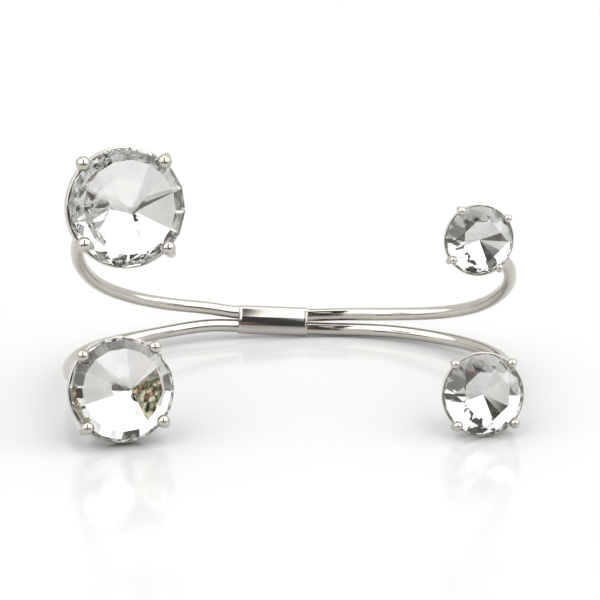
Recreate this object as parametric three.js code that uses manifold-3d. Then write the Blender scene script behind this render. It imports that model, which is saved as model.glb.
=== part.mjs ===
// Open cuff bangle: two round polished wires, one above the other, joined at the
// middle of the back by a crimped sleeve. The wires spread apart to the sides and
// each of the four ends carries a four-prong cup setting with a round crystal.
//
// Millimetres, +Z up. X runs across the bangle, -Y is the open mouth, and the part
// lies on its side as it rests on a table: on the sleeve and the two lower settings.
// The origin is the middle of the footprint box, on the table.

import * as THREE from 'three';
import { mergeVertices } from 'three/addons/utils/BufferGeometryUtils.js';
import { ConvexGeometry } from 'three/addons/geometries/ConvexGeometry.js';
import Module from 'manifold-3d';

const wasm = await Module();
wasm.setup();

// ---------------------------------------------------------------- dimensions
const WIRE_D = 1.9;            // round wire
const WIRE_SIDES = 10;         // facets round the wire
const WIRE_STEPS = 30;         // facets along each half of a wire
const WIRE_PITCH = 1.92;       // between the two wire centres inside the sleeve

const SLEEVE_LENGTH = 10.2;
const SLEEVE_WALL = 0.17;
const SLEEVE_GAP = 0.04;       // between the wires and the sleeve's bore

const BACK_FLAT = 5.3;         // half of the straight run through the sleeve
const OVAL_DEPTH = 22.0;       // from the back to the widest line of the oval

const REST_PITCH_DEG = 20.1;   // the mouth is lifted by the settings
const REST_ROLL_DEG = 4.045;   // the side with the larger stones is lifted

// Each quarter of the bangle: half width of its oval and, by angle round the oval
// from the back, the height of the wire's centre over the bangle's middle plane.
const QUARTERS = {
  upper_left: {
    side: -1, halfWidth: 29.75,
    rise: [
      { angle: 9.5, height: 1.50 }, { angle: 24, height: 1.77 },
      { angle: 41, height: 2.55 }, { angle: 60, height: 4.12 },
      { angle: 79, height: 6.75 }, { angle: 96, height: 9.50 },
      { angle: 113, height: 11.8 },
    ],
  },
  lower_left: {
    side: -1, halfWidth: 30.35,
    rise: [
      { angle: 9, height: -0.98 }, { angle: 23, height: -2.10 },
      { angle: 39, height: -3.50 }, { angle: 55, height: -4.78 },
      { angle: 71, height: -6.50 }, { angle: 88, height: -8.35 },
      { angle: 110, height: -10.1 },
    ],
  },
  upper_right: {
    side: 1, halfWidth: 31.45,
    rise: [
      { angle: 9, height: 1.28 }, { angle: 27, height: 1.52 },
      { angle: 48, height: 1.96 }, { angle: 66, height: 3.05 },
      { angle: 82, height: 4.82 }, { angle: 96, height: 6.55 },
      { angle: 111, height: 8.45 },
    ],
  },
  lower_right: {
    side: 1, halfWidth: 31.3,
    rise: [
      { angle: 9, height: -0.92 }, { angle: 27, height: -0.97 },
      { angle: 48, height: -1.88 }, { angle: 66, height: -3.10 },
      { angle: 82, height: -4.45 }, { angle: 97, height: -5.85 },
      { angle: 113, height: -7.80 },
    ],
  },
};

// Each stone: its girdle's centre in the bangle's own frame, the way it faces
// (turn: towards +X from the mouth direction; lift: over the middle plane),
// how deep its back is as a fraction of the diameter and how far off the middle
// the back's point sits as fractions of the radius, its setting, and its four claws: the angle round the stone, and how far out
// the tip lies as a fraction of the stone's radius.
const STONES = {
  upper_left: {
    cut: 'pointed', setting: 'cup', diameter: 16.1, x: -23.55, y: -41.0, z: 13.35,
    turn: 13, lift: -3, back: 0.125, tip: [0.097, -0.080],
    claws: [
      { angle: 54, reach: 0.97 }, { angle: 140, reach: 1.05 },
      { angle: 222, reach: 0.97 }, { angle: 318, reach: 0.95 },
    ],
  },
  lower_left: {
    cut: 'pointed', setting: 'cup', diameter: 14.1, x: -23.35, y: -40.4, z: -11.02,
    turn: 8, lift: -2, back: 0.105, tip: [0.170, 0.005],
    claws: [
      { angle: 55, reach: 1.02 }, { angle: 142, reach: 1.00 },
      { angle: 229, reach: 0.98 }, { angle: 325, reach: 0.98 },
    ],
  },
  upper_right: {
    cut: 'table', setting: 'basket', diameter: 9.3, x: 24.05, y: -41.6, z: 10.8,
    turn: 8, lift: -8, back: 0.16, tip: [0, 0],
    claws: [
      { angle: 41, reach: 1.03 }, { angle: 127, reach: 1.03 },
      { angle: 218, reach: 0.99 }, { angle: 309, reach: 0.99 },
    ],
  },
  lower_right: {
    cut: 'table', setting: 'basket', diameter: 11.0, x: 25.25, y: -41.7, z: -9.97,
    turn: 7, lift: -3, back: 0.16, tip: [0, 0],
    claws: [
      { angle: 50, reach: 1.03 }, { angle: 137, reach: 1.05 },
      { angle: 231, reach: 1.02 }, { angle: 320, reach: 1.05 },
    ],
  },
};

const GIRDLE = 0.4;            // height of the stones' cylindrical edge

// The two cuts, as fractions of the diameter: the crown's height, the height of
// crown that the claws are cut for, and how deep the setting is hollow behind.
const CUTS = {
  pointed: { crown: 0.125, room: 0.135, seat: 0.262 },
  table: { crown: 0.155, room: 0.155, seat: 0.43 },
};

const STONE_CLEAR = 0.25;      // between a stone and the metal round it
const METAL = 0.45;            // cup wall, seat ring and basket floor
const RIM_BEHIND = 0.35;       // the cup's rim or seat ring, behind the girdle
const CUP_OUT = 0.14;          // the cup stands this far outside the stone
const CUP_SIDE = 1.55;         // straight depth of the cup's side
const RING_OUT = 0.24;         // the seat ring stands this far outside the stone
const RING_HEIGHT = 0.55;
const ROUND_SIDES = 24;        // facets round the cups and rings

const CLAW_BALL = 0.062;       // radius of a claw's tip, as a fraction of the diameter
const CLAW_BAR = 0.62;         // radius of its bar, as a fraction of the tip's
const CROWN_SLOPE = 0.8;       // rise of a stone's edge towards its middle

const SILVER = { color: 0xc9c6c0, roughness: 0.08, metalness: 1.0 };
const CRYSTAL = { color: 0xe9eef2, roughness: 0.02, metalness: 0.0 };

const rad = (deg) => THREE.MathUtils.degToRad(deg);

// ------------------------------------------------------------------- solids
function solidOf(geometry) {
  const g = geometry.clone();
  for (const name of Object.keys(g.attributes)) {
    if (name !== 'position') g.deleteAttribute(name);
  }
  const merged = mergeVertices(g, 1e-5);
  return new wasm.Manifold(new wasm.Mesh({
    numProp: 3,
    vertProperties: new Float32Array(merged.attributes.position.array),
    triVerts: new Uint32Array(merged.index.array),
  }));
}

function geometryOf(solid) {
  const mesh = solid.getMesh();
  const g = new THREE.BufferGeometry();
  g.setAttribute('position', new THREE.BufferAttribute(
    new Float32Array(mesh.vertProperties), 3));
  g.setIndex(new THREE.BufferAttribute(new Uint32Array(mesh.triVerts), 1));
  g.computeVertexNormals();
  return g;
}

const unionOf = (solids) => solids.reduce((all, one) => all.add(one));

function circleShape(radius, sides) {
  const shape = new THREE.Shape();
  for (let i = 0; i < sides; i++) {
    const a = (2 * Math.PI * i) / sides;
    const [x, y] = [radius * Math.cos(a), radius * Math.sin(a)];
    if (i === 0) shape.moveTo(x, y); else shape.lineTo(x, y);
  }
  shape.closePath();
  return shape;
}

function tube(points, radius, sides, steps) {
  const path = new THREE.CatmullRomCurve3(points, false, 'centripetal');
  return new THREE.ExtrudeGeometry(circleShape(radius, sides), {
    steps, extrudePath: path, bevelEnabled: false,
  });
}

// A LatheGeometry turns about Y: this one is turned about Z, with profile rows
// of radius and height that start and end on the axis.
function latheAboutZ(profile, sides) {
  const g = new THREE.LatheGeometry(
    profile.map(([r, z]) => new THREE.Vector2(r, z)), sides);
  g.rotateX(Math.PI / 2);
  return g;
}

// -------------------------------------------------------------------- stones
function stoneFrame(s) {
  const [t, e] = [rad(s.turn), rad(s.lift)];
  const front = new THREE.Vector3(
    Math.sin(t) * Math.cos(e), -Math.cos(t) * Math.cos(e), Math.sin(e));
  const right = new THREE.Vector3(Math.cos(t), Math.sin(t), 0);
  const up = new THREE.Vector3().crossVectors(front, right);
  const m = new THREE.Matrix4().makeBasis(right, up, front);
  return m.setPosition(s.x, s.y, s.z);
}

// The corners of a stone's crown and girdle: count, radius and height, both as
// fractions of the stone's radius and crown height, and a turn in steps.
function frontCorners(s, crown, shoulder) {
  const R = s.diameter / 2;
  const rings = s.cut === 'pointed'
    ? [
      { count: 1, r: 0, z: crown, half: 0 },
      { count: 16, r: shoulder.r * R, z: shoulder.z * crown, half: 0 },
      { count: 16, r: R, z: 0, half: 0 },
      { count: 16, r: R, z: -GIRDLE, half: 0 },
    ]
    : [
      { count: 8, r: 0.60 * R, z: crown, half: 0.5 },
      { count: 8, r: 0.80 * R, z: 0.59 * crown, half: 0 },
      { count: 16, r: R, z: 0, half: 0 },
      { count: 16, r: R, z: -GIRDLE, half: 0 },
    ];
  const points = [];
  for (const ring of rings) {
    for (let i = 0; i < ring.count; i++) {
      const a = (2 * Math.PI * (i + ring.half)) / ring.count;
      points.push(new THREE.Vector3(ring.r * Math.cos(a), ring.r * Math.sin(a), ring.z));
    }
  }
  return points;
}

function stoneGeometry(s) {
  const R = s.diameter / 2;
  const points = frontCorners(s, CUTS[s.cut].crown * s.diameter, { r: 0.79, z: 0.60 });
  points.push(new THREE.Vector3(s.tip[0] * R, s.tip[1] * R, -s.back * s.diameter));
  return new ConvexGeometry(points);
}

// The space that a setting leaves for its stone.
function roomGeometry(s) {
  const R = s.diameter / 2;
  const depth = seatOf(s);
  const points = frontCorners(s, CUTS[s.cut].room * s.diameter, { r: 0.78, z: 0.62 });
  if (s.cut === 'table') {
    for (let i = 0; i < 8; i++) {
      const a = (Math.PI * i) / 4;
      points.push(new THREE.Vector3(0.30 * R * Math.cos(a), 0.30 * R * Math.sin(a), -0.72 * depth));
    }
  }
  points.push(new THREE.Vector3(0, 0, -depth));
  const k = (R + STONE_CLEAR) / R;
  return new ConvexGeometry(points).scale(k, k, k);
}

// ------------------------------------------------------------------ settings
const seatOf = (s) => CUTS[s.cut].seat * s.diameter;
const floorOf = (s) => seatOf(s) + STONE_CLEAR + METAL;

// A stamped cup: closed behind, open in front.
function cupSolid(s) {
  const R = s.diameter / 2;
  const outer = R + CUP_OUT;
  const inner = outer - METAL;
  const rim = -GIRDLE - RIM_BEHIND;
  const side = rim - CUP_SIDE;
  const floorIn = -(seatOf(s) + STONE_CLEAR);
  return solidOf(latheAboutZ([
    [0, -floorOf(s)], [0.36 * R, -floorOf(s)], [outer, side], [outer, rim],
    [inner, rim], [inner, side + 0.25], [0.30 * R, floorIn], [0, floorIn],
  ], ROUND_SIDES));
}

// A seat ring just behind the stone's edge, and the disc that closes the basket.
function basketSolids(s) {
  const R = s.diameter / 2;
  const outer = R + RING_OUT;
  const inner = outer - 0.5;
  const top = -GIRDLE + 0.1;
  const ring = solidOf(latheAboutZ([
    [inner, top], [inner, top - RING_HEIGHT], [outer, top - RING_HEIGHT],
    [outer, top], [inner, top],
  ], ROUND_SIDES));
  const floorIn = -(seatOf(s) + STONE_CLEAR);
  const disc = solidOf(latheAboutZ([
    [0, -floorOf(s) - 0.1], [0.30 * R, -floorOf(s) - 0.1], [0.34 * R, floorIn], [0, floorIn],
  ], ROUND_SIDES));
  return [ring, disc];
}

// One claw: a bar that rises along the back of the stone, past its edge, to a
// rounded tip that folds over the crown.
function clawSolids(s, claw) {
  const R = s.diameter / 2;
  const tip = CLAW_BALL * s.diameter;
  const bar = CLAW_BAR * tip;
  const off = bar + 0.3;
  const low = s.setting === 'cup'
    ? [{ r: R - 0.2, z: -GIRDLE - RIM_BEHIND - CUP_SIDE }]
    : [
      { r: 0.26 * R, z: -floorOf(s) + 0.15 },
      { r: 0.55 * R + off * 0.65, z: -0.45 * seatOf(s) - off * 0.75 },
    ];
  const over = Math.max(0, 1 - claw.reach) * R;
  const rows = [
    ...low,
    { r: R + 0.12 + 0.5 * bar, z: -GIRDLE - 0.75 },
    { r: R + 0.10 + 0.9 * bar, z: -0.1 },
    { r: claw.reach * R, z: over * CROWN_SLOPE + 0.5 * tip },
  ];
  const a = rad(claw.angle);
  const at = (row) => new THREE.Vector3(Math.cos(a) * row.r, Math.sin(a) * row.r, row.z);
  const barGeometry = tube(rows.map(at), bar, 6, s.setting === 'cup' ? 6 : 8);
  const ball = new THREE.IcosahedronGeometry(tip, 1);
  const end = at(rows[rows.length - 1]);
  ball.translate(end.x, end.y, end.z);
  return [solidOf(barGeometry), solidOf(ball)];
}

function settingSolid(s) {
  const parts = s.setting === 'cup' ? [cupSolid(s)] : basketSolids(s);
  for (const claw of s.claws) parts.push(...clawSolids(s, claw));
  const room = solidOf(roomGeometry(s));
  const m = stoneFrame(s).elements;
  return unionOf(parts).subtract(room).transform(Array.from(m));
}

// --------------------------------------------------------------------- wires
function ovalPoint(quarter, angleDeg, height) {
  const a = rad(angleDeg);
  return new THREE.Vector3(
    quarter.side * (BACK_FLAT + (quarter.halfWidth - BACK_FLAT) * Math.sin(a)),
    -OVAL_DEPTH * (1 - Math.cos(a)),
    height);
}

// From the middle of the sleeve to the floor of the cup that the end is soldered to.
function halfWirePoints(name) {
  const quarter = QUARTERS[name];
  const stone = STONES[name];
  const z0 = Math.sign(quarter.rise[0].height) * WIRE_PITCH / 2;
  const points = [0, 0.5, 1].map((f) => new THREE.Vector3(quarter.side * BACK_FLAT * f, 0, z0));
  for (const row of quarter.rise) points.push(ovalPoint(quarter, row.angle, row.height));
  const end = new THREE.Vector3(0, 0, -floorOf(stone) + 0.1).applyMatrix4(stoneFrame(stone));
  points.push(end);
  return points;
}

function wireSolid(left, right) {
  const points = [...halfWirePoints(left).reverse(), ...halfWirePoints(right).slice(1)];
  const wire = tube(points, WIRE_D / 2, WIRE_SIDES, 2 * WIRE_STEPS);
  return unionOf([solidOf(wire), settingSolid(STONES[left]), settingSolid(STONES[right])]);
}

// -------------------------------------------------------------------- sleeve
function stadium(halfSpan, radius, Kind) {
  const shape = new Kind();
  shape.moveTo(radius, -halfSpan);
  shape.lineTo(radius, halfSpan);
  shape.absarc(0, halfSpan, radius, 0, Math.PI, false);
  shape.lineTo(-radius, -halfSpan);
  shape.absarc(0, -halfSpan, radius, Math.PI, 2 * Math.PI, false);
  return shape;
}

function sleeveGeometry() {
  const bore = WIRE_D / 2 + SLEEVE_GAP;
  const shape = stadium(WIRE_PITCH / 2, bore + SLEEVE_WALL, THREE.Shape);
  shape.holes.push(stadium(WIRE_PITCH / 2, bore, THREE.Path));
  const g = new THREE.ExtrudeGeometry(shape, {
    depth: SLEEVE_LENGTH, bevelEnabled: false, curveSegments: 12,
  });
  g.translate(0, 0, -SLEEVE_LENGTH / 2);
  // Section's first axis to Y, second to Z, length to X.
  g.applyMatrix4(new THREE.Matrix4().makeBasis(
    new THREE.Vector3(0, 1, 0), new THREE.Vector3(0, 0, 1), new THREE.Vector3(1, 0, 0)));
  return g;
}

// ------------------------------------------------------------------ assembly
function meshOf(name, geometry, look) {
  const mesh = new THREE.Mesh(geometry, new THREE.MeshStandardMaterial(look));
  mesh.name = name;
  return mesh;
}

const own = new THREE.Group();
own.rotation.set(-rad(REST_PITCH_DEG), rad(REST_ROLL_DEG), 0, 'XYZ');

own.add(meshOf('upper_wire', geometryOf(wireSolid('upper_left', 'upper_right')), SILVER));
own.add(meshOf('lower_wire', geometryOf(wireSolid('lower_left', 'lower_right')), SILVER));
own.add(meshOf('sleeve', sleeveGeometry(), SILVER));
for (const [name, s] of Object.entries(STONES)) {
  const mesh = meshOf(`stone_${name}`, stoneGeometry(s), CRYSTAL);
  mesh.applyMatrix4(stoneFrame(s));
  own.add(mesh);
}

// The box round the resting bangle is centred on the origin and stands on the table.
const bangle = new THREE.Group();
bangle.add(own);
bangle.updateMatrixWorld(true);
const box = new THREE.Box3().setFromObject(bangle, true);
own.position.set(
  -(box.min.x + box.max.x) / 2, -(box.min.y + box.max.y) / 2, -box.min.z);
bangle.updateMatrixWorld(true);

export default bangle;
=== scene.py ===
import math

import bmesh
import bpy
import numpy as np
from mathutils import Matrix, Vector


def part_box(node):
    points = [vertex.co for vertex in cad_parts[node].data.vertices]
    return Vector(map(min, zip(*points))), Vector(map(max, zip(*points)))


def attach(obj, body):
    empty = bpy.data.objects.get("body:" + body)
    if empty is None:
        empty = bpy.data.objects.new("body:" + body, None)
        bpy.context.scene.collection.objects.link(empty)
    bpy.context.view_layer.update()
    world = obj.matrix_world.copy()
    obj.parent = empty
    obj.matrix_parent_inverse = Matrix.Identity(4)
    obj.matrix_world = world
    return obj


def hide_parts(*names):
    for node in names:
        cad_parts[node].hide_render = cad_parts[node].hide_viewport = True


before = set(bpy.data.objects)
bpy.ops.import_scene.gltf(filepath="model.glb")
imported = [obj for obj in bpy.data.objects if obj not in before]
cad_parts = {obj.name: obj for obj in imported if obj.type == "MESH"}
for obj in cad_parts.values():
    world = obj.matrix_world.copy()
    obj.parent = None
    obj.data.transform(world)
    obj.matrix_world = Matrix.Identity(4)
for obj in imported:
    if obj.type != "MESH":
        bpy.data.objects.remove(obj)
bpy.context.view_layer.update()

# ------------------------------------------------------------------ dimensions, mm
# The same sizes as the CAD part, in the bangle's own frame: X across, -Y the open
# mouth, Z from one wire to the other, origin in the middle of the sleeve.
WIRE_D = 1.9
WIRE_PITCH = 1.92
SLEEVE_LENGTH = 10.2
SLEEVE_WALL = 0.17
SLEEVE_GAP = 0.04
BACK_FLAT = 5.3
OVAL_DEPTH = 22.0
REST_PITCH_DEG = 20.1
REST_ROLL_DEG = 4.045

# name: side, half width of the oval, then (angle round the oval, height of the wire)
QUARTERS = {
    "upper_left": (-1, 29.75, [(9.5, 1.50), (24, 1.77), (41, 2.55), (60, 4.12), (79, 6.75), (96, 9.50), (113, 11.8)]),
    "lower_left": (-1, 30.35, [(9, -0.98), (23, -2.10), (39, -3.50), (55, -4.78), (71, -6.50), (88, -8.35), (110, -10.1)]),
    "upper_right": (1, 31.45, [(9, 1.28), (27, 1.52), (48, 1.96), (66, 3.05), (82, 4.82), (96, 6.55), (111, 8.45)]),
    "lower_right": (1, 31.3, [(9, -0.92), (27, -0.97), (48, -1.88), (66, -3.10), (82, -4.45), (97, -5.85), (113, -7.80)]),
}

# name: cut, setting, diameter, girdle centre, turn and lift in degrees, claws (angle, reach)
STONES = {
    "upper_left": dict(cut="pointed", setting="cup", d=16.1, at=(-23.55, -41.0, 13.35), turn=13, lift=-3,
                       claws=[(54, 0.97), (140, 1.05), (222, 0.97), (318, 0.95)]),
    "lower_left": dict(cut="pointed", setting="cup", d=14.1, at=(-23.35, -40.4, -11.02), turn=8, lift=-2,
                       claws=[(55, 1.02), (142, 1.00), (229, 0.98), (325, 0.98)]),
    "upper_right": dict(cut="table", setting="basket", d=9.3, at=(24.05, -41.6, 10.8), turn=8, lift=-8,
                        claws=[(41, 1.03), (127, 1.03), (218, 0.99), (309, 0.99)]),
    "lower_right": dict(cut="table", setting="basket", d=11.0, at=(25.25, -41.7, -9.97), turn=7, lift=-3,
                        claws=[(50, 1.03), (137, 1.05), (231, 1.02), (320, 1.05)]),
}
GIRDLE = 0.4
CUTS = {"pointed": (0.125, 0.125), "table": (0.155, 0.17)}
BACKS = {"lower_left": 0.105, "upper_right": 0.16, "lower_right": 0.16}
# how far the back's point sits off the middle, as shares of the radius
TIPS = {"upper_left": (0.097, -0.080), "lower_left": (0.170, 0.005), "upper_right": (0, 0), "lower_right": (0, 0)}
SEAT = {"pointed": 0.262, "table": 0.43}
BACK_AROUND = 240
BACK_ALONG = 80
RING_R = 0.79
RING_H = 0.60
STONE_CLEAR = 0.25
METAL = 0.45
RIM_BEHIND = 0.35
CUP_OUT = 0.14
CUP_SIDE = 1.55
RING_OUT = 0.24
RING_HEIGHT = 0.55
CLAW_BALL = 0.062
CLAW_BAR = 0.62
CROWN_SLOPE = 0.8

# ------------------------------------------------------------------ own frame to row frame
lo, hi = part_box("sleeve")
SHIFT = np.array((lo + hi) / 2, float)
a, b = math.radians(-REST_PITCH_DEG), math.radians(REST_ROLL_DEG)
RX = np.array([[1, 0, 0], [0, math.cos(a), -math.sin(a)], [0, math.sin(a), math.cos(a)]])
RY = np.array([[math.cos(b), 0, math.sin(b)], [0, 1, 0], [-math.sin(b), 0, math.cos(b)]])
TURN = RX @ RY


def to_row(points):
    return np.asarray(points, float) @ TURN.T / 1000 + SHIFT


def stone_axes(s):
    t, e = math.radians(s["turn"]), math.radians(s["lift"])
    front = np.array([math.sin(t) * math.cos(e), -math.cos(t) * math.cos(e), math.sin(e)])
    right = np.array([math.cos(t), math.sin(t), 0.0])
    return np.array([right, np.cross(front, right), front])


def from_stone(s, points):
    return np.asarray(points, float) @ stone_axes(s) + np.array(s["at"])


def into_stone(s, points):
    return (np.asarray(points, float) - np.array(s["at"])) @ stone_axes(s).T


# ------------------------------------------------------------------ meshes
def add_mesh(name, points, faces, smooth=True, sharp_deg=None):
    mesh = bpy.data.meshes.new(name)
    mesh.from_pydata([tuple(p) for p in points], [], [tuple(f) for f in faces])
    mesh.validate()
    ob = bpy.data.objects.new(name, mesh)
    bpy.context.scene.collection.objects.link(ob)
    bm = bmesh.new()
    bm.from_mesh(mesh)
    bmesh.ops.remove_doubles(bm, verts=bm.verts, dist=1e-8)
    bmesh.ops.recalc_face_normals(bm, faces=bm.faces)
    for f in bm.faces:
        f.smooth = smooth
    if sharp_deg is not None:
        limit = math.radians(sharp_deg)
        for e in bm.edges:
            if len(e.link_faces) == 2 and e.calc_face_angle(0) > limit:
                e.smooth = False
    bm.to_mesh(mesh)
    bm.free()
    mesh.update()
    return ob


def spline(points, step):
    """Centripetal Catmull-Rom through the points, resampled at equal steps."""
    P = [np.array(p, float) for p in points]
    P = [2 * P[0] - P[1]] + P + [2 * P[-1] - P[-2]]
    out = []
    for i in range(1, len(P) - 2):
        p0, p1, p2, p3 = P[i - 1], P[i], P[i + 1], P[i + 2]
        d0, d1, d2 = [max(float(np.dot(q, q)) ** 0.25, 1e-4) for q in (p1 - p0, p2 - p1, p3 - p2)]
        t1 = ((p1 - p0) / d0 - (p2 - p0) / (d0 + d1) + (p2 - p1) / d1) * d1
        t2 = ((p2 - p1) / d1 - (p3 - p1) / (d1 + d2) + (p3 - p2) / d2) * d1
        u = np.linspace(0, 1, 60, endpoint=False)[:, None]
        out.append(p1 + t1 * u + (-3 * p1 + 3 * p2 - 2 * t1 - t2) * u**2 + (2 * p1 - 2 * p2 + t1 + t2) * u**3)
    out = np.vstack(out + [P[-2][None]])
    run = np.concatenate([[0], np.cumsum(np.linalg.norm(np.diff(out, axis=0), axis=1))])
    n = max(int(round(run[-1] / step)), 2)
    at = np.linspace(0, run[-1], n + 1)
    return np.stack([np.interp(at, run, out[:, k]) for k in range(3)], axis=1)


def smoothed(points, sigma):
    """A Gaussian average along the line, with its ends held."""
    n = int(math.ceil(3 * sigma))
    k = np.exp(-0.5 * (np.arange(-n, n + 1) / sigma) ** 2)
    k /= k.sum()
    before = 2 * points[0] - points[n:0:-1]
    after = 2 * points[-1] - points[-2:-n - 2:-1]
    wide = np.vstack([before, points, after])
    return np.stack([np.convolve(wide[:, c], k, mode="valid") for c in range(3)], axis=1)


def frames(line):
    """Rotation-minimizing frames: two unit vectors across the line at each point."""
    t = np.gradient(line, axis=0)
    t /= np.linalg.norm(t, axis=1)[:, None]
    u = np.cross(t[0], [0, 0, 1.0])
    if np.linalg.norm(u) < 1e-3:
        u = np.cross(t[0], [0, 1.0, 0])
    U = [u / np.linalg.norm(u)]
    for i in range(1, len(line)):
        v = U[-1] - t[i] * np.dot(U[-1], t[i])
        U.append(v / np.linalg.norm(v))
    U = np.array(U)
    return t, U, np.cross(t, U)


def tube(line, radii, sides):
    """A closed round tube: points and faces. radii holds one radius for each point."""
    t, U, V = frames(line)
    ang = np.linspace(0, 2 * math.pi, sides, endpoint=False)
    ring = np.cos(ang)[None, :, None] * U[:, None] + np.sin(ang)[None, :, None] * V[:, None]
    pts = line[:, None] + ring * np.asarray(radii)[:, None, None]
    n = len(line)
    pts = pts.reshape(-1, 3)
    faces = []
    for i in range(n - 1):
        for j in range(sides):
            k = (j + 1) % sides
            faces.append((i * sides + j, i * sides + k, (i + 1) * sides + k, (i + 1) * sides + j))
    pts = np.vstack([pts, line[:1], line[-1:]])
    for j in range(sides):
        k = (j + 1) % sides
        faces.append((n * sides, k, j))
        faces.append((n * sides + 1, (n - 1) * sides + j, (n - 1) * sides + k))
    return pts, faces


def rounded(profile, radius, n=6, closed=False):
    """The polyline with its corners rounded. A corner on the axis stays."""
    P = [np.array(p, float) for p in profile]
    out = []
    m = len(P)
    for i, p in enumerate(P):
        if not closed and i in (0, m - 1):
            out.append(p)
            continue
        q, r = P[i - 1], P[(i + 1) % m]
        d1, d2 = q - p, r - p
        l1, l2 = np.linalg.norm(d1), np.linalg.norm(d2)
        cut = min(radius, 0.45 * l1, 0.45 * l2)
        s, e = p + d1 / l1 * cut, p + d2 / l2 * cut
        for w in np.linspace(0, 1, n):
            out.append((1 - w) ** 2 * s + 2 * w * (1 - w) * p + w * w * e)
    return np.array(out)


def lathe(profile, sides, closed=False):
    """Turned about Z. An open profile starts and ends on the axis; a closed one is a ring."""
    prof = np.asarray(profile, float)
    ang = np.linspace(0, 2 * math.pi, sides, endpoint=False)
    rows, faces, pts = [], [], []
    for r, z in prof:
        if r < 1e-6:
            rows.append([len(pts)] * sides)
            pts.append((0, 0, z))
        else:
            rows.append(list(range(len(pts), len(pts) + sides)))
            pts += [(r * math.cos(q), r * math.sin(q), z) for q in ang]
    pairs = list(zip(rows[:-1], rows[1:])) + ([(rows[-1], rows[0])] if closed else [])
    for A, B in pairs:
        for j in range(sides):
            k = (j + 1) % sides
            f = []
            for v in (A[j], A[k], B[k], B[j]):
                if v not in f:
                    f.append(v)
            if len(f) > 2:
                faces.append(f)
    return np.array(pts, float), faces


def joined(parts):
    pts, faces, n = [], [], 0
    for p, f in parts:
        pts.append(np.asarray(p, float))
        faces += [tuple(v + n for v in q) for q in f]
        n += len(p)
    return np.vstack(pts), faces


# ------------------------------------------------------------------ materials
def new_material(name):
    m = bpy.data.materials.new(name)
    m.use_nodes = True
    m.node_tree.nodes.clear()
    return m, m.node_tree.nodes, m.node_tree.links


def noise(nodes, links, scale, detail=3.0, rough=0.5, coord=None, stretch=None):
    n = nodes.new("ShaderNodeTexNoise")
    n.inputs["Scale"].default_value = scale
    n.inputs["Detail"].default_value = detail
    n.inputs["Roughness"].default_value = rough
    if coord is None:
        coord = nodes.new("ShaderNodeTexCoord").outputs["Object"]
    if stretch is not None:
        m = nodes.new("ShaderNodeMapping")
        m.inputs["Scale"].default_value = stretch
        links.new(coord, m.inputs["Vector"])
        coord = m.outputs["Vector"]
    links.new(coord, n.inputs["Vector"])
    return n.outputs["Fac"]


def ramp(nodes, links, fac, stops):
    r = nodes.new("ShaderNodeValToRGB")
    e = r.color_ramp.elements
    while len(e) < len(stops):
        e.new(0.5)
    for el, (p, c) in zip(e, stops):
        el.position = p
        el.color = (*c, 1) if len(c) == 3 else c
    links.new(fac, r.inputs["Fac"])
    return r.outputs["Color"]


def span(nodes, links, fac, low, high):
    m = nodes.new("ShaderNodeMapRange")
    m.inputs["To Min"].default_value = low
    m.inputs["To Max"].default_value = high
    m.inputs["From Min"].default_value = 0.3
    m.inputs["From Max"].default_value = 0.7
    links.new(fac, m.inputs["Value"])
    return m.outputs["Result"]


def metal_material(name, dark, light, rough, bump, grain=(1, 1, 1)):
    m, nodes, links = new_material(name)
    out = nodes.new("ShaderNodeOutputMaterial")
    p = nodes.new("ShaderNodeBsdfPrincipled")
    p.inputs["Metallic"].default_value = 1.0
    links.new(p.outputs[0], out.inputs["Surface"])
    coord = nodes.new("ShaderNodeTexCoord").outputs["Object"]
    cloud = noise(nodes, links, 260, 4, 0.55, coord)
    links.new(ramp(nodes, links, cloud, [(0.3, dark), (0.72, light)]), p.inputs["Base Color"])
    fine = noise(nodes, links, 1500, 3, 0.6, coord, grain)
    links.new(span(nodes, links, fine, rough * 0.6, rough * 1.5), p.inputs["Roughness"])
    swell = noise(nodes, links, 420, 2, 0.5, coord, grain)
    bm_ = nodes.new("ShaderNodeBump")
    bm_.inputs["Strength"].default_value = bump
    bm_.inputs["Distance"].default_value = 0.00005
    links.new(swell, bm_.inputs["Height"])
    links.new(bm_.outputs["Normal"], p.inputs["Normal"])
    return m


SILVER = metal_material("polished_silver_plate", (0.50, 0.475, 0.425), (0.58, 0.56, 0.52), 0.07, 0.05)
SLEEVE = metal_material("sleeve_silver_plate", (0.50, 0.475, 0.43), (0.58, 0.56, 0.525), 0.06, 0.06, (0.25, 1, 1))


def glass_material(name, ior):
    """Clear crystal."""
    m, nodes, links = new_material(name)
    out = nodes.new("ShaderNodeOutputMaterial")
    p = nodes.new("ShaderNodeBsdfPrincipled")
    p.inputs["Transmission Weight"].default_value = 1.0
    p.inputs["IOR"].default_value = ior
    p.inputs["Roughness"].default_value = 0.0
    p.inputs["Base Color"].default_value = (1, 1, 1, 1)
    links.new(p.outputs[0], out.inputs["Surface"])
    return m


def foil_material(name, dark, light, rough=0.015):
    m, nodes, links = new_material(name)
    out = nodes.new("ShaderNodeOutputMaterial")
    p = nodes.new("ShaderNodeBsdfPrincipled")
    p.inputs["Metallic"].default_value = 1.0
    p.inputs["Roughness"].default_value = rough
    links.new(p.outputs[0], out.inputs["Surface"])
    cloud = noise(nodes, links, 350, 3, 0.5)
    links.new(ramp(nodes, links, cloud, [(0.3, dark), (0.7, light)]), p.inputs["Base Color"])
    return m


CRYSTAL = glass_material("clear_crystal", 1.58)
FOILS = {"clear": foil_material("foil_clear", (0.66, 0.66, 0.655), (0.78, 0.78, 0.77))}


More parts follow.
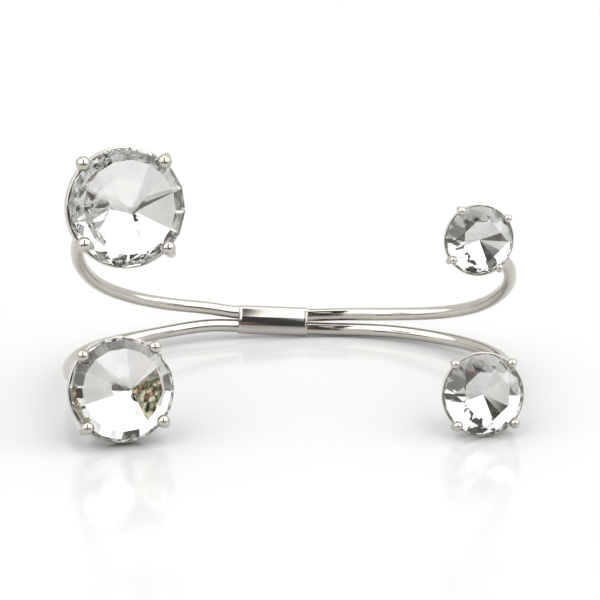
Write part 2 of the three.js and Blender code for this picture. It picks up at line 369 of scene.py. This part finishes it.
def painted_reflection_foil(name):
    """Foil with painted reflection: a mottle of olive, brown, salmon and bright spots that stands for reflected
    surroundings, over a faint bump of small cells.
    """
    m, nodes, links = new_material(name)
    out = nodes.new("ShaderNodeOutputMaterial")
    p = nodes.new("ShaderNodeBsdfPrincipled")
    p.inputs["Metallic"].default_value = 1.0
    p.inputs["Roughness"].default_value = 0.12
    links.new(p.outputs[0], out.inputs["Surface"])
    coord = nodes.new("ShaderNodeTexCoord").outputs["Object"]
    reflection_mottle = noise(nodes, links, 480, 3, 0.55, coord)
    # painted reflection: these colours stand for reflected green and salmon surroundings and bright highlights
    links.new(ramp(nodes, links, reflection_mottle, [(0.32, (0.04, 0.045, 0.03)), (0.43, (0.15, 0.16, 0.10)), (0.50, (0.34, 0.34, 0.24)),
                                       (0.57, (0.42, 0.22, 0.15)), (0.64, (0.60, 0.58, 0.46)), (0.74, (0.95, 0.94, 0.90))]),
              p.inputs["Base Color"])
    cells = nodes.new("ShaderNodeTexVoronoi")
    cells.inputs["Scale"].default_value = 1000
    links.new(coord, cells.inputs["Vector"])
    b1 = nodes.new("ShaderNodeBump")
    b1.inputs["Strength"].default_value = 0.45
    b1.inputs["Distance"].default_value = 0.00025
    b1.invert = True
    links.new(cells.outputs["Distance"], b1.inputs["Height"])
    links.new(b1.outputs["Normal"], p.inputs["Normal"])
    return m


# foil with painted reflection in its colour
FOILS["painted_reflection"] = painted_reflection_foil("foil_painted_reflection")


def foil_of(tint):
    """The foil of that name, or one tinted that colour, with a faint cloud in it."""
    if tint not in FOILS:
        name = "foil_%02d_%02d_%02d" % tuple(round(c * 100) for c in tint)
        FOILS[tint] = foil_material(name, tuple(c * 0.9 for c in tint), tuple(min(1, c * 1.1) for c in tint))
    return FOILS[tint]



# The sector of foil with painted reflection, a coloured mottle standing for reflected surroundings: its material, then
# its outline in shares of the radius
FOIL_SHAPES = {
    "upper_left": [],
    # painted reflection in this sector of the foil
    "lower_left": [("painted_reflection", [(0.17, 0.0), (0.45, 0.26), (0.64, 0.44), (0.77, 0.0), (0.65, -0.36), (0.50, -0.56), (0.32, -0.26)])],
    "upper_right": [],
    "lower_right": [],
}


# ------------------------------------------------------------------ stones
def back_of(name):
    s = STONES[name]
    return BACKS.get(name, CUTS[s["cut"]][1]) * s["d"]


def floor_of(s):
    return SEAT[s["cut"]] * s["d"] + STONE_CLEAR + METAL


def crown_points(s):
    R = s["d"] / 2
    crown = CUTS[s["cut"]][0] * s["d"]
    if s["cut"] == "pointed":
        rings = [(1, 0, crown, 0), (16, RING_R * R, RING_H * crown, 0), (16, R, 0, 0)]
    else:
        rings = [(8, 0.60 * R, crown, 0.5), (8, 0.80 * R, 0.59 * crown, 0), (16, R, 0, 0)]
    pts = []
    for count, r, z, half in rings:
        for i in range(count):
            q = 2 * math.pi * (i + half) / count
            pts.append((r * math.cos(q), r * math.sin(q), z))
    return np.array(pts)


def stone_object(name, bm, slots):
    bmesh.ops.recalc_face_normals(bm, faces=bm.faces)
    for f in bm.faces:
        f.smooth = False
    mesh = bpy.data.meshes.new("crystal_" + name)
    bm.to_mesh(mesh)
    bm.free()
    ob = bpy.data.objects.new("crystal_" + name, mesh)
    bpy.context.scene.collection.objects.link(ob)
    for m in slots:
        mesh.materials.append(m)
    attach(ob, "root")
    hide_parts("stone_" + name)
    return ob


def within(x, y, outline):
    """Which of the points lie in the outline."""
    inside = np.zeros(len(x), bool)
    for (x0, y0), (x1, y1) in zip(outline, outline[1:] + outline[:1]):
        cross = (y0 > y) != (y1 > y)
        if y0 != y1:
            inside ^= cross & (x < (x1 - x0) * (y - y0) / (y1 - y0) + x0)
    return inside


def make_stone(name, s):
    """Cut crown, girdle, and a faceted back. Its flat facets are gridded so that foil patches have outlines."""
    R = s["d"] / 2
    back = back_of(name)
    tip = np.array([TIPS[name][0] * R, TIPS[name][1] * R, -back])
    n, m = BACK_AROUND, BACK_ALONG
    ang = np.arange(n) * 360 / n
    rim_r = R * math.cos(math.pi / 16) / np.cos(np.radians(ang % 22.5 - 11.25))
    edge = np.stack([rim_r * np.cos(np.radians(ang)), rim_r * np.sin(np.radians(ang)), np.full(n, -GIRDLE)], 1)
    share = np.arange(1, m + 1) / m
    grid = tip + share[:, None, None] * (edge - tip)

    hull = bmesh.new()
    for p in to_row(from_stone(s, np.vstack([crown_points(s), edge[::n // 16], tip[None]]))):
        hull.verts.new(p)
    bmesh.ops.convex_hull(hull, input=hull.verts)
    planes = {}
    for f in hull.faces:
        q = np.array(f.normal)
        planes[tuple(np.round(q, 3))] = (q, float(np.dot(q, np.array(f.verts[0].co))))
    hull.free()

    bm = bmesh.new()
    crown = [bm.verts.new(p) for p in to_row(from_stone(s, crown_points(s)))]
    rim = crown[-16:]
    bmesh.ops.convex_hull(bm, input=crown)
    under = [f for f in bm.faces if all(q in rim for q in f.verts)]
    bmesh.ops.delete(bm, geom=under, context="FACES_ONLY")
    loose = [e for e in bm.edges if not e.link_faces]
    bmesh.ops.delete(bm, geom=loose, context="EDGES")
    flat = [e for e in bm.edges if len(e.link_faces) == 2 and e.calc_face_angle(0) < math.radians(0.6)]
    bmesh.ops.dissolve_edges(bm, edges=flat, use_verts=False)

    rows = [[bm.verts.new(p) for p in row] for row in to_row(from_stone(s, grid.reshape(-1, 3))).reshape(m, n, 3)]
    end = bm.verts.new(to_row(from_stone(s, tip[None]))[0])
    each = n // 16
    for i in range(16):
        k = (i + 1) % 16
        low = [rows[-1][j % n] for j in range(i * each, (i + 1) * each + 1)]
        bm.faces.new([rim[k], rim[i]] + low)

    # the foil of each cell, by its middle
    inner = np.concatenate([np.broadcast_to(tip, (1, n, 3)), grid[:-1]])
    mid = (inner + grid + np.roll(inner, -1, 1) + np.roll(grid, -1, 1)) / 4 / R
    x, y = mid[..., 0].ravel(), mid[..., 1].ravel()
    kind = np.zeros(n * m, int)
    tints = []
    for tint, outline in FOIL_SHAPES[name]:
        if tint not in tints:
            tints.append(tint)
        kind[within(x, y, outline)] = 1 + tints.index(tint)
    kind = kind.reshape(m, n)
    for q in range(m):
        for j in range(n):
            k = (j + 1) % n
            if q == 0:
                face = bm.faces.new((end, rows[0][j], rows[0][k]))
            else:
                face = bm.faces.new((rows[q - 1][j], rows[q][j], rows[q][k], rows[q - 1][k]))
            face.material_index = 1 + int(kind[q, j])
    return stone_object(name, bm, [CRYSTAL, FOILS["clear"]] + [foil_of(t) for t in tints]), list(planes.values())


# ------------------------------------------------------------------ settings
def claw_mesh(s, angle, reach):
    R = s["d"] / 2
    tip = CLAW_BALL * s["d"]
    bar = CLAW_BAR * tip
    off = bar + 0.3
    if s["setting"] == "cup":
        rows = [(R - 0.2, -GIRDLE - RIM_BEHIND - CUP_SIDE)]
    else:
        rows = [(0.26 * R, -floor_of(s) + 0.15), (0.55 * R + off * 0.65, -0.45 * SEAT[s["cut"]] * s["d"] - off * 0.75)]
    over = max(0, 1 - reach) * R
    rows += [(R + 0.12 + 0.5 * bar, -GIRDLE - 0.75), (R + 0.10 + 0.9 * bar, -0.1),
             (reach * R, over * CROWN_SLOPE + 0.5 * tip)]
    q = math.radians(angle)
    line = np.array([(math.cos(q) * r, math.sin(q) * r, z) for r, z in rows])
    line = spline(line, 0.06)
    line = smoothed(line, 5)
    t = line[-1] - line[-2]
    t /= np.linalg.norm(t)
    n = int(tip / 0.06)
    line = np.vstack([line, line[-1] + t * np.linspace(0.06, tip, n)[:, None]])
    run = np.concatenate([[0], np.cumsum(np.linalg.norm(np.diff(line, axis=0), axis=1))])
    centre = run[-1] - tip
    ball = np.sqrt(np.clip(tip**2 - (run - centre) ** 2, 0, None))
    k = 5.0
    stem = np.where(run < centre, bar, 0)
    r = (np.maximum(ball, 0) ** k + stem**k) ** (1 / k)
    r[-1] = 0.03
    # points crowd at the end, where the dome closes
    return tube(line, r, 24)


def setting_parts(s):
    R = s["d"] / 2
    fl = floor_of(s)
    parts = []
    if s["setting"] == "cup":
        outer = R + CUP_OUT
        inner = outer - METAL
        rim = -GIRDLE - RIM_BEHIND
        side = rim - CUP_SIDE
        floor_in = -fl + METAL
        prof = [(0, -fl), (0.36 * R, -fl), (outer, side), (outer, rim), (inner, rim), (inner, side + 0.25),
                (0.30 * R, floor_in), (0, floor_in)]
        parts.append(lathe(rounded(prof, 0.3, 6), 160))
    else:
        outer = R + RING_OUT
        inner = outer - 0.5
        top = -GIRDLE + 0.1
        prof = [(inner, top), (inner, top - RING_HEIGHT), (outer, top - RING_HEIGHT), (outer, top)]
        parts.append(lathe(rounded(prof, 0.16, 6, True), 128, True))
        floor_in = -fl + METAL
        prof = [(0, -fl - 0.1), (0.30 * R, -fl - 0.1), (0.34 * R, floor_in), (0, floor_in)]
        parts.append(lathe(rounded(prof, 0.25, 6), 64))
    for angle, reach in s["claws"]:
        parts.append(claw_mesh(s, angle, reach))
    return joined(parts)


def make_setting(name, s, planes):
    pts, faces = setting_parts(s)
    row = to_row(from_stone(s, pts))
    # metal keeps off the stone: what would be inside it is laid on its surface
    N = np.array([p[0] for p in planes])
    D = np.array([p[1] for p in planes])
    for _ in range(3):
        depth = row @ N.T - D
        near = depth.argmax(1)
        worst = depth.max(1)
        inside = worst < 0.00003
        row[inside] += N[near[inside]] * (0.00003 - worst[inside])[:, None]
    ob = add_mesh("setting_" + name, row, faces, True, 50)
    ob.data.materials.append(SILVER)
    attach(ob, "root")
    return ob


# ------------------------------------------------------------------ wires
def half_wire(name):
    side, half_width, rise = QUARTERS[name]
    z0 = math.copysign(WIRE_PITCH / 2, rise[0][1])
    pts = [(side * BACK_FLAT * f, 0, z0) for f in (0, 0.5, 1)]
    for ang, h in rise:
        q = math.radians(ang)
        pts.append((side * (BACK_FLAT + (half_width - BACK_FLAT) * math.sin(q)), -OVAL_DEPTH * (1 - math.cos(q)), h))
    s = STONES[name]
    pts.append(from_stone(s, [(0, 0, -floor_of(s) + 0.1)])[0])
    return [np.array(p, float) for p in pts]


def make_wire(name, left, right):
    line = spline(half_wire(left)[::-1] + half_wire(right)[1:], 0.2)
    line = smoothed(line, 9)
    run = np.concatenate([[0], np.cumsum(np.linalg.norm(np.diff(line, axis=0), axis=1))])
    from_end = np.minimum(run, run[-1] - run)
    r = WIRE_D / 2 + 0.42 * np.exp(-np.maximum(from_end - 0.25, 0) / 0.42)
    pts, faces = tube(line, r, 48)
    for s in (STONES[left], STONES[right]):
        local = into_stone(s, pts)
        close = (np.linalg.norm(local[:, :2], axis=1) < 0.5 * s["d"]) & (np.abs(local[:, 2] + floor_of(s)) < 3)
        top = -floor_of(s) + 0.2
        over = close & (local[:, 2] > top)
        local[over, 2] = top
        pts[over] = from_stone(s, local[over])
    ob = add_mesh(name + "_rod", to_row(pts), faces, True, 60)
    ob.data.materials.append(SILVER)
    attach(ob, "root")
    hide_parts(name)
    return ob


# ------------------------------------------------------------------ sleeve
def stadium_point(q, radius):
    """Round a stadium by angle: Y across the wires, Z along their pitch."""
    c, s = math.cos(q), math.sin(q)
    h = WIRE_PITCH / 2
    # where the ray at this angle leaves the stadium
    if abs(c) > 1e-9 and abs(s / c) * radius <= h:
        k = radius / abs(c)
    else:
        sg = math.copysign(1, s)
        bq = -s * sg * h
        k = -bq + math.sqrt(max(bq * bq - (h * h - radius * radius), 0))
    return np.array([k * c, k * s])


def oval_point_at(q, ry, rz, n):
    c, s = math.cos(q), math.sin(q)
    k = (abs(c / ry) ** n + abs(s / rz) ** n) ** (-1 / n)
    return np.array([k * c, k * s])


def make_sleeve():
    bore = WIRE_D / 2 + SLEEVE_GAP
    outer = bore + SLEEVE_WALL
    sides, half = 144, SLEEVE_LENGTH / 2
    ang = np.linspace(0, 2 * math.pi, sides, endpoint=False)
    inner_ring = np.array([stadium_point(q, bore) for q in ang])
    out_ring = np.array([oval_point_at(q, outer + 0.02, outer + WIRE_PITCH / 2, 2.12) for q in ang])
    # profile of the wall, as (x, share from the bore to the outside, extra)
    prof = []
    xs = np.concatenate([np.linspace(-half + 0.1, -half + 1.0, 16), np.linspace(-half + 1.0, half - 1.0, 40)[1:-1],
                         np.linspace(half - 1.0, half - 0.1, 16)])
    for x in xs:
        lip = math.exp(-((half - abs(x) - 0.17) / 0.13) ** 2)
        barrel = 0.035 * (1 - (x / half) ** 2)
        prof.append((x, 1.0, 0.05 * lip + barrel - 0.03))
    for q in np.linspace(math.pi / 2, -math.pi / 2, 9)[1:-1]:
        prof.append((half - 0.1 + 0.1 * math.cos(q), 0.5 + 0.5 * math.sin(q), 0.02 * (1 + math.sin(q)) / 2))
    for x in np.linspace(half - 0.1, -half + 0.1, 12):
        prof.append((x, 0.0, 0.0))
    for q in np.linspace(-math.pi / 2, math.pi / 2, 9)[1:-1]:
        prof.append((-half + 0.1 - 0.1 * math.cos(q), 0.5 + 0.5 * math.sin(q), 0.02 * (1 + math.sin(q)) / 2))
    pts, faces = [], []
    m = len(prof)
    for x, share, extra in prof:
        ring = inner_ring * (1 - share) + out_ring * share
        away = ring / np.linalg.norm(ring, axis=1)[:, None]
        ring = ring + away * extra * share
        pts += [(x, y, z) for y, z in ring]
    for i in range(m):
        j = (i + 1) % m
        for k in range(sides):
            l = (k + 1) % sides
            faces.append((i * sides + k, i * sides + l, j * sides + l, j * sides + k))
    ob = add_mesh("crimped_sleeve", to_row(pts), faces, True, 55)
    ob.data.materials.append(SLEEVE)
    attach(ob, "root")
    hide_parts("sleeve")
    return ob


make_wire("upper_wire", "upper_left", "upper_right")
make_wire("lower_wire", "lower_left", "lower_right")
make_sleeve()
for name, s in STONES.items():
    stone, planes = make_stone(name, s)
    make_setting(name, s, planes)

# ------------------------------------------------------------------ floor
floor_pts = [(-3, -0.27, 0), (3, -0.27, 0), (3, 3, 0), (-3, 3, 0)]
mesh = bpy.data.meshes.new("floor")
mesh.from_pydata(floor_pts, [], [(0, 1, 2, 3)])
floor = bpy.data.objects.new("floor", mesh)
bpy.context.scene.collection.objects.link(floor)
m, nodes, links = new_material("white_acrylic")
out = nodes.new("ShaderNodeOutputMaterial")
p = nodes.new("ShaderNodeBsdfPrincipled")
p.inputs["Base Color"].default_value = (0.66, 0.66, 0.655, 1)
p.inputs["Roughness"].default_value = 0.12
p.inputs["IOR"].default_value = 1.45
links.new(p.outputs[0], out.inputs["Surface"])
mesh.materials.append(m)

# ------------------------------------------------------------------ light
world = bpy.data.worlds.new("studio")
bpy.context.scene.world = world
world.use_nodes = True
nt = world.node_tree
nt.nodes.clear()


def math_node(op, x, y=None, z=None):
    n = nt.nodes.new("ShaderNodeMath")
    n.operation = op
    for socket, v in zip(n.inputs, (x, y, z)):
        if v is None:
            continue
        if isinstance(v, (int, float)):
            socket.default_value = v
        else:
            nt.links.new(v, socket)
    return n.outputs[0]


def dot_node(v, axis):
    n = nt.nodes.new("ShaderNodeVectorMath")
    n.operation = "DOT_PRODUCT"
    nt.links.new(v, n.inputs[0])
    n.inputs[1].default_value = axis
    return n.outputs["Value"]


def edge(value, start, end):
    n = nt.nodes.new("ShaderNodeMapRange")
    n.interpolation_type = "SMOOTHSTEP"
    nt.links.new(value, n.inputs["Value"])
    n.inputs["From Min"].default_value = start
    n.inputs["From Max"].default_value = end
    n.inputs["To Min"].default_value = 0
    n.inputs["To Max"].default_value = 1
    return n.outputs["Result"]


def direction(az, el):
    """Azimuth 0 is towards -Y, and grows to +X."""
    q, e = math.radians(az), math.radians(el)
    return Vector((math.sin(q) * math.cos(e), -math.cos(q) * math.cos(e), math.sin(e)))


look = nt.nodes.new("ShaderNodeTexCoord").outputs["Generated"]


def over(base, az, el, half_w, half_h, soft, colour, roll=0):
    """A soft-edged card at that direction, over what base gives. Sizes are in degrees."""
    n = direction(az, el)
    q = math.radians(az)
    right = Vector((math.cos(q), math.sin(q), 0))
    up = n.cross(right) * -1
    up = right.cross(n)
    if up.z < 0:
        up = -up
    if roll:
        w = math.radians(roll)
        right, up = right * math.cos(w) + up * math.sin(w), up * math.cos(w) - right * math.sin(w)
    dn = dot_node(look, n)
    safe = math_node("MAXIMUM", dn, 0.02)
    u = math_node("ABSOLUTE", math_node("DIVIDE", dot_node(look, right), safe))
    v = math_node("ABSOLUTE", math_node("DIVIDE", dot_node(look, up), safe))
    tw, th = math.tan(math.radians(half_w)), math.tan(math.radians(half_h))
    sf = math.tan(math.radians(soft))
    mask = math_node("MULTIPLY", edge(u, tw + sf, tw - sf), edge(v, th + sf, th - sf))
    mask = math_node("MULTIPLY", mask, edge(dn, 0.0, 0.1))
    mix = nt.nodes.new("ShaderNodeMix")
    mix.data_type = "RGBA"
    nt.links.new(mask, mix.inputs[0])
    if isinstance(base, tuple):
        mix.inputs[6].default_value = (*base, 1)
    else:
        nt.links.new(base, mix.inputs[6])
    mix.inputs[7].default_value = (*colour, 1)
    return mix.outputs[2]


# az, el, half width, half height, softness, colour
SKY = (0.95, 0.95, 0.94)
CARDS = [
    ("softbox", 0, 67.5, 76, 47.5, 1.5, (2.2, 2.2, 2.2)),
    ("front gap", -4, 7, 70, 13, 2, (0.19, 0.18, 0.155)),
    ("tent slit", -5.2, 55, 9.35, 35, 0.6, (0.08, 0.08, 0.07)),
    ("slit foot", -13, 28, 5, 8, 0.6, (0.08, 0.08, 0.07)),
    ("slit light", -3, 62, 3.8, 3.2, 0.6, (2.2, 2.2, 2.2)),
    ("slit light low", -6, 49, 2.6, 1.8, 0.5, (2.2, 2.2, 2.2)),
    ("slit light foot", -11, 32, 2.6, 2.2, 0.5, (2.2, 2.2, 2.2)),
    ("camera", -2, 16, 10, 17, 1.5, (0.08, 0.082, 0.085)),
    ("left fill", -23, 17, 8.5, 14.5, 1, (0.95, 0.95, 0.92)),
    ("right fill", 56, 6, 9, 17, 1, (0.95, 0.95, 0.93)),
    ("warm card", -9, 16, 2.0, 5, 1, (0.55, 0.30, 0.22)),
    ("warm card low", 1, 8, 1.8, 4, 1, (0.55, 0.30, 0.22)),
]
sky = SKY
for _, az, el, hw, hh, soft, colour in CARDS:
    sky = over(sky, az, el, hw, hh, soft, colour)
path = nt.nodes.new("ShaderNodeLightPath")
final = nt.nodes.new("ShaderNodeMix")
final.data_type = "RGBA"
nt.links.new(path.outputs["Is Camera Ray"], final.inputs[0])
nt.links.new(sky, final.inputs[6])
final.inputs[7].default_value = (1, 1, 1, 1)
bg = nt.nodes.new("ShaderNodeBackground")
nt.links.new(final.outputs[2], bg.inputs["Color"])
wo = nt.nodes.new("ShaderNodeOutputWorld")
nt.links.new(bg.outputs[0], wo.inputs["Surface"])

# ------------------------------------------------------------------ camera
cam_data = bpy.data.cameras.new("camera")
cam_data.sensor_width = 36.0
cam_data.lens = 170.4545
cam_data.clip_start = 0.01
cam_data.clip_end = 20
cam = bpy.data.objects.new("camera", cam_data)
bpy.context.scene.collection.objects.link(cam)
CAM_AZ, CAM_EL = -6.0, 18.5
back = direction(CAM_AZ, CAM_EL)
cam.location = (-0.03814131, -0.37535661, 0.13919804)
cam.rotation_mode = "QUATERNION"
cam.rotation_quaternion = back.to_track_quat("Z", "Y")
bpy.context.scene.camera = cam

scene = bpy.context.scene
scene.view_settings.view_transform = "Standard"
scene.view_settings.look = "None"
scene.view_settings.exposure = 0.0
scene.cycles.max_bounces = 32
scene.cycles.glossy_bounces = 24
scene.cycles.transmission_bounces = 24
scene.cycles.caustics_reflective = False
scene.cycles.caustics_refractive = False

bpy.context.view_layer.update()
